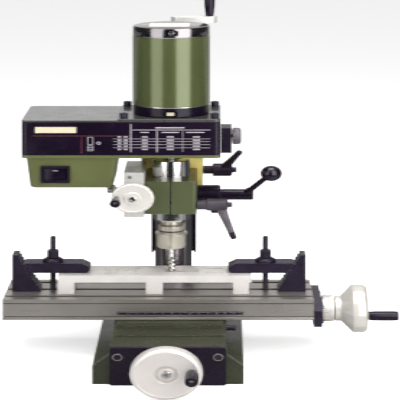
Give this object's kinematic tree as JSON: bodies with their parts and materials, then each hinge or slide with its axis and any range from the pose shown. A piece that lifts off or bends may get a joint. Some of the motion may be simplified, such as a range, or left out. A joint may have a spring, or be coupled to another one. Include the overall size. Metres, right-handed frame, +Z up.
{
  "type": "benchtop milling machine",
  "caption": "Benchtop milling machine: round column, lifting belt-driven head, quill with lever and fine feed, and a compound slotted table with handwheels and a clamped workpiece.",
  "frame": {"origin": "on the bench, straight below the spindle axis, at the underside of the base", "axes": "+Z up along the spindle and column, +X to the operator's right along the table, -Y towards the operator"},
  "size_m": [0.4475, 0.4123, 0.5723],
  "materials": {
    "green_paint": "satin enamel",
    "yellow_paint": "satin enamel",
    "black_plastic": "satin",
    "black_steel": "black oxide, oiled",
    "steel": "turned",
    "chrome": "ground and polished",
    "aluminium": "turned or milled",
    "table_grey": "ground",
    "brass": "machined",
    "rubber": "matt"
  },
  "bodies": {
    "base": {"base_casting": "green_paint", "front_plate": "black_plastic", "column": "chrome", "column_cap": "black_steel"},
    "saddle_lock": {"saddle_lock_screw": "black_steel"},
    "y_drive": {"y_handwheel": "aluminium", "y_leadscrew": "steel", "y_dial": "aluminium"},
    "y_grip": {"y_grip": "black_plastic"},
    "saddle": {"saddle": "green_paint", "cross_nut": "brass"},
    "table": {"table": "table_grey", "x_end_plate": "black_steel", "workpiece": "aluminium", "step_block_left": "black_steel", "clamp_bar_left": "black_steel", "clamp_stud_left": "black_steel", "clamp_nut_left": "black_steel", "step_block_right": "black_steel", "clamp_bar_right": "black_steel", "clamp_stud_right": "black_steel", "clamp_nut_right": "black_steel"},
    "x_drive": {"x_dial": "aluminium", "x_handwheel": "aluminium", "x_leadscrew": "steel"},
    "x_grip": {"x_grip": "black_plastic"},
    "z_drive": {"z_crank": "aluminium", "z_leadscrew": "steel"},
    "z_grip": {"z_grip": "black_plastic"},
    "head": {"head_carrier": "yellow_paint", "column_guard": "black_steel", "quill_housing": "green_paint", "feed_housing": "aluminium", "pinion_boss": "black_plastic", "belt_tray": "green_paint", "belt_hood": "black_plastic", "motor_plate": "black_plastic", "tension_bracket": "black_plastic", "motor_shell": "green_paint", "motor_bottom_bell": "chrome", "motor_top_bell": "chrome", "belt_upper": "rubber", "belt_lower": "rubber"},
    "belt_lid": {"belt_lid": "black_plastic"},
    "quill": {"quill_sleeve": "chrome"},
    "spindle": {"spindle_shaft": "steel", "collet_nut": "steel", "end_mill": "steel"},
    "spindle_pulley": {"spindle_pulley": "aluminium"},
    "motor_rotor": {"motor_rotor": "steel"},
    "countershaft": {"countershaft_pulley": "aluminium"},
    "quill_lever": {"pinion_shaft": "black_steel", "lever_arm": "black_steel", "lever_ball": "black_plastic"},
    "fine_feed": {"feed_wheel": "aluminium"},
    "feed_grip": {"feed_grip": "black_plastic"},
    "quill_lock": {"quill_lock_lever": "black_steel"},
    "column_lock": {"column_lock_lever": "black_steel"},
    "tension_knob": {"tension_knob": "black_steel"},
    "rocker": {"switch_rocker": "black_plastic"}
  },
  "joints": [
    {"name": "y_handwheel_turn", "type": "hinge", "parent": "base", "child": "y_drive", "pos_m": [0, -0.1912, 0.0445], "axis": [0, 1, 0], "range_deg": [-5850.05, 5400.05]},
    {"name": "y_grip_spin", "type": "hinge", "parent": "y_drive", "child": "y_grip", "pos_m": [0.0268, -0.228, 0.0475], "axis": [0, -1, 0], "continuous": true},
    {"name": "saddle_slide", "type": "slide", "parent": "base", "child": "saddle", "axis": [0, 1, 0], "range_m": [-0.0325, 0.03]},
    {"name": "saddle_lock_turn", "type": "hinge", "parent": "base", "child": "saddle_lock", "pos_m": [0.0305, -0.06, 0.054], "axis": [1, 0, 0], "range_deg": [0, 90]},
    {"name": "table_slide", "type": "slide", "parent": "saddle", "child": "table", "axis": [1, 0, 0], "range_m": [-0.058, 0.085]},
    {"name": "x_handwheel_turn", "type": "hinge", "parent": "table", "child": "x_drive", "pos_m": [0.1875, 0, 0.0647], "axis": [1, 0, 0], "range_deg": [-10440.05, 15300.05]},
    {"name": "x_grip_spin", "type": "hinge", "parent": "x_drive", "child": "x_grip", "pos_m": [0.2246, -0.0285, 0.062], "axis": [1, 0, 0], "continuous": true},
    {"name": "z_crank_turn", "type": "hinge", "parent": "base", "child": "z_drive", "pos_m": [0.008, 0.109, 0.523], "axis": [0, 0, -1], "range_deg": [-3600.05, 25200.05]},
    {"name": "z_grip_spin", "type": "hinge", "parent": "z_drive", "child": "z_grip", "pos_m": [0.0435, 0.109, 0.5343], "axis": [0, 0, 1], "continuous": true},
    {"name": "head_slide", "type": "slide", "parent": "base", "child": "head", "axis": [0, 0, 1], "range_m": [-0.02, 0.14]},
    {"name": "belt_lid_open", "type": "hinge", "parent": "head", "child": "belt_lid", "pos_m": [-0.1135, 0.064, 0.3876], "axis": [-1, 0, 0], "range_deg": [0, 105]},
    {"name": "quill_slide", "type": "slide", "parent": "head", "child": "quill", "axis": [0, 0, -1], "range_m": [0, 0.028]},
    {"name": "spindle_spin", "type": "hinge", "parent": "quill", "child": "spindle", "pos_m": [0, 0, 0.181], "axis": [0, 0, 1], "continuous": true},
    {"name": "spindle_pulley_spin", "type": "hinge", "parent": "head", "child": "spindle_pulley", "pos_m": [0, 0, 0.34], "axis": [0, 0, 1], "continuous": true},
    {"name": "motor_spin", "type": "hinge", "parent": "head", "child": "motor_rotor", "pos_m": [0, 0, 0.45], "axis": [0, 0, 1], "continuous": true},
    {"name": "countershaft_spin", "type": "hinge", "parent": "head", "child": "countershaft", "pos_m": [-0.11, 0, 0.35], "axis": [0, 0, 1], "continuous": true},
    {"name": "quill_lever_turn", "type": "hinge", "parent": "head", "child": "quill_lever", "pos_m": [0, 0.0295, 0.2455], "axis": [1, 0, 0], "range_deg": [0, 213.92]},
    {"name": "fine_feed_turn", "type": "hinge", "parent": "head", "child": "fine_feed", "pos_m": [-0.0422, 0.038, 0.261], "axis": [0, 1, 0], "range_deg": [0, 5040.05]},
    {"name": "feed_grip_spin", "type": "hinge", "parent": "fine_feed", "child": "feed_grip", "pos_m": [-0.0602, -0.0558, 0.2622], "axis": [0, -1, 0], "continuous": true},
    {"name": "quill_lock_turn", "type": "hinge", "parent": "head", "child": "quill_lock", "pos_m": [0.03, -0.028, 0.2442], "axis": [1, 0, 0], "range_deg": [-45, 30]},
    {"name": "column_lock_turn", "type": "hinge", "parent": "head", "child": "column_lock", "pos_m": [0.036, 0.075, 0.2755], "axis": [1, 0, 0], "range_deg": [-30, 30]},
    {"name": "tension_knob_turn", "type": "hinge", "parent": "head", "child": "tension_knob", "pos_m": [0.0573, -0.021, 0.3554], "axis": [1, 0, 0], "range_deg": [-180, 180]},
    {"name": "switch_rock", "type": "hinge", "parent": "head", "child": "rocker", "pos_m": [-0.1295, -0.042, 0.2985], "axis": [0, 0, -1], "range_deg": [0, 12]}
  ],
  "couplings": [
    {"joint": "y_handwheel_turn", "follows": "saddle_slide", "rad_per_m": 3141.6},
    {"joint": "x_handwheel_turn", "follows": "table_slide", "rad_per_m": 3141.6},
    {"joint": "z_crank_turn", "follows": "head_slide", "rad_per_m": 3141.6},
    {"joint": "quill_lever_turn", "follows": "quill_slide", "rad_per_m": 133.33},
    {"joint": "fine_feed_turn", "follows": "quill_slide", "rad_per_m": 3141.6},
    {"joint": "countershaft_spin", "follows": "motor_spin", "ratio": 0.3125},
    {"joint": "spindle_pulley_spin", "follows": "motor_spin", "ratio": 0.125},
    {"joint": "spindle_spin", "follows": "motor_spin", "ratio": 0.125}
  ]
}
